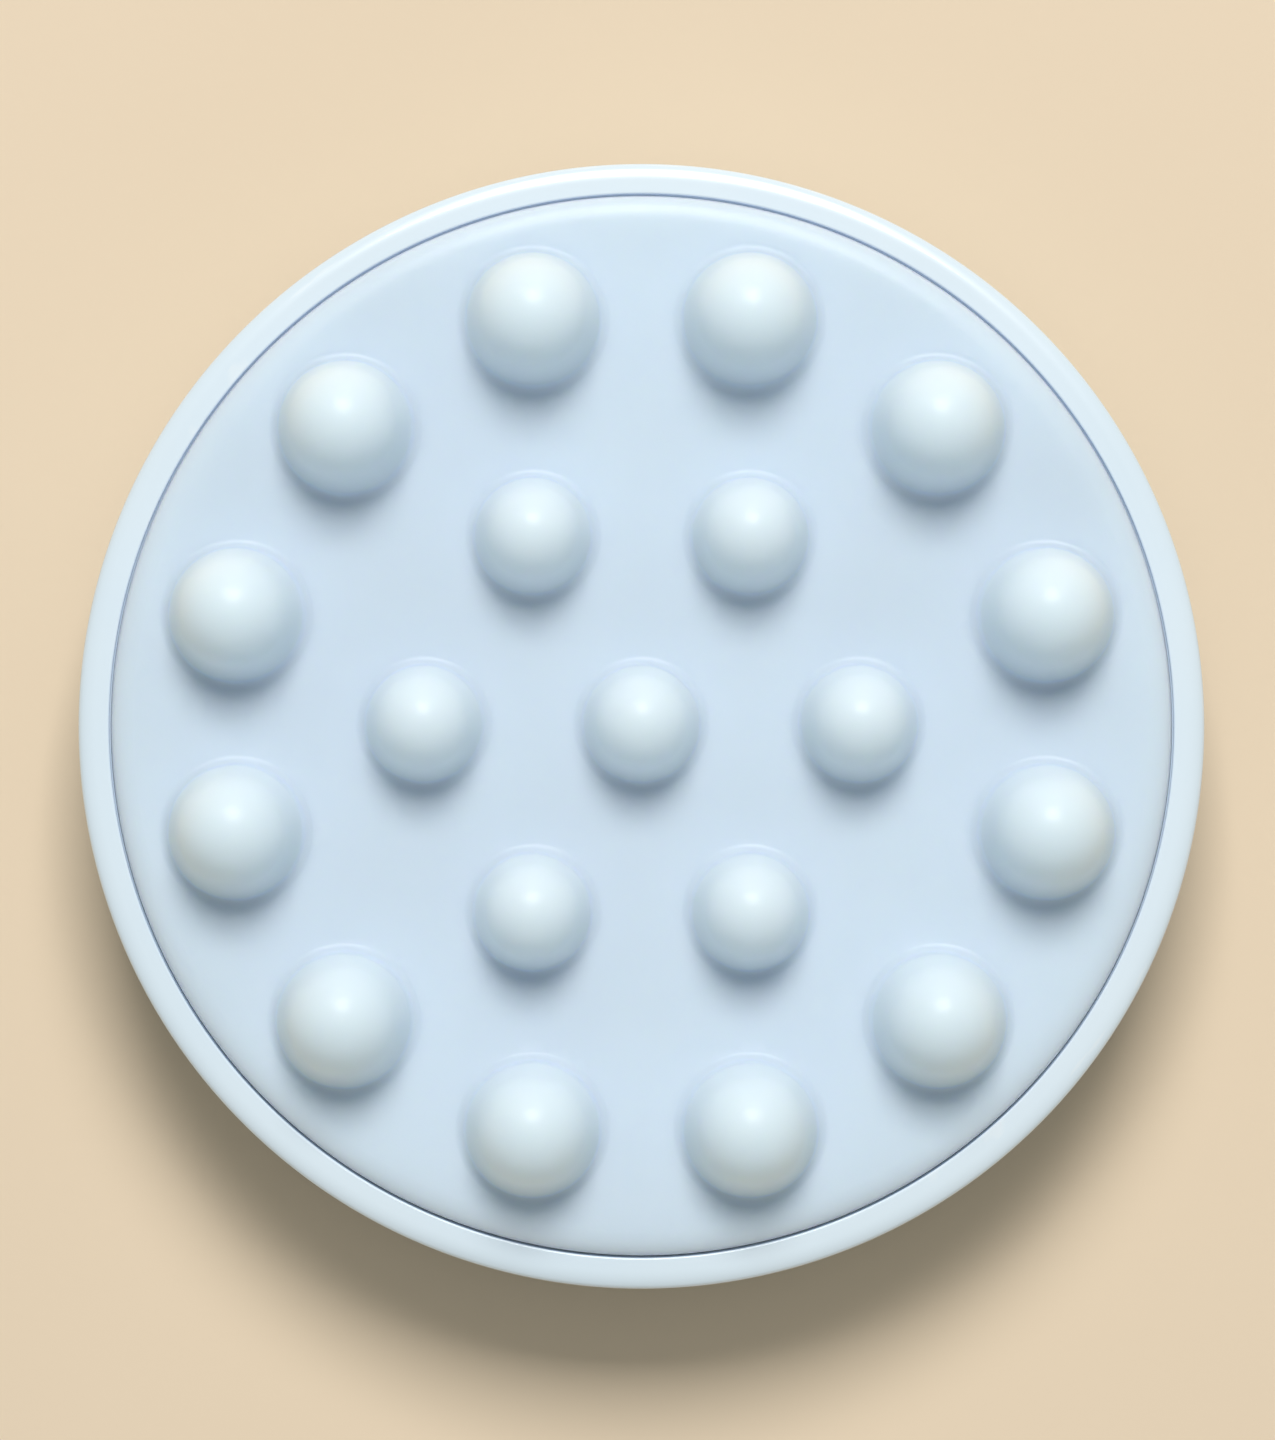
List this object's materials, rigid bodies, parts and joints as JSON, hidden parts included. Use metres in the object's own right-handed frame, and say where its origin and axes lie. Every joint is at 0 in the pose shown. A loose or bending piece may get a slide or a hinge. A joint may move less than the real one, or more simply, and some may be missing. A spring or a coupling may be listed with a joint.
{
  "type": "scalp massager brush",
  "caption": "Low round palm-held scalp massager: blunt soft nodes on a pull-out pad, inside a glossy rim ring, on a rounded back with a soft grip band and a flat foot.",
  "frame": {"origin": "centre of the foot's flat resting face", "axes": "+Z out of the massage pad, +Y towards the pair of outer nodes either side of the Y axis"},
  "size_m": [0.08, 0.08, 0.0218],
  "materials": {
    "pad_silicone": "satin",
    "inner_plastic": "matte",
    "screw_steel": "satin",
    "seal_rubber": "matte",
    "rim_gloss": "gloss",
    "frame_gloss": "gloss",
    "shell_gloss": "gloss",
    "grip_rubber": "satin",
    "foot_rubber": "matte"
  },
  "bodies": {
    "puck": {"rim_ring": "rim_gloss", "head_frame": "frame_gloss", "frame_gasket": "seal_rubber", "back_shell": "shell_gloss", "grip_band": "grip_rubber", "back_screws": "screw_steel", "foot_pad": "foot_rubber"},
    "insert": {"massage_pad": "pad_silicone", "pad_carrier": "inner_plastic", "clamp_ring": "inner_plastic", "clamp_screws": "screw_steel", "seal_ring": "seal_rubber"}
  },
  "joints": [
    {"name": "insert_pull", "type": "slide", "parent": "puck", "child": "insert", "axis": [0, 0, 1], "range_m": [0, 0.018]}
  ]
}
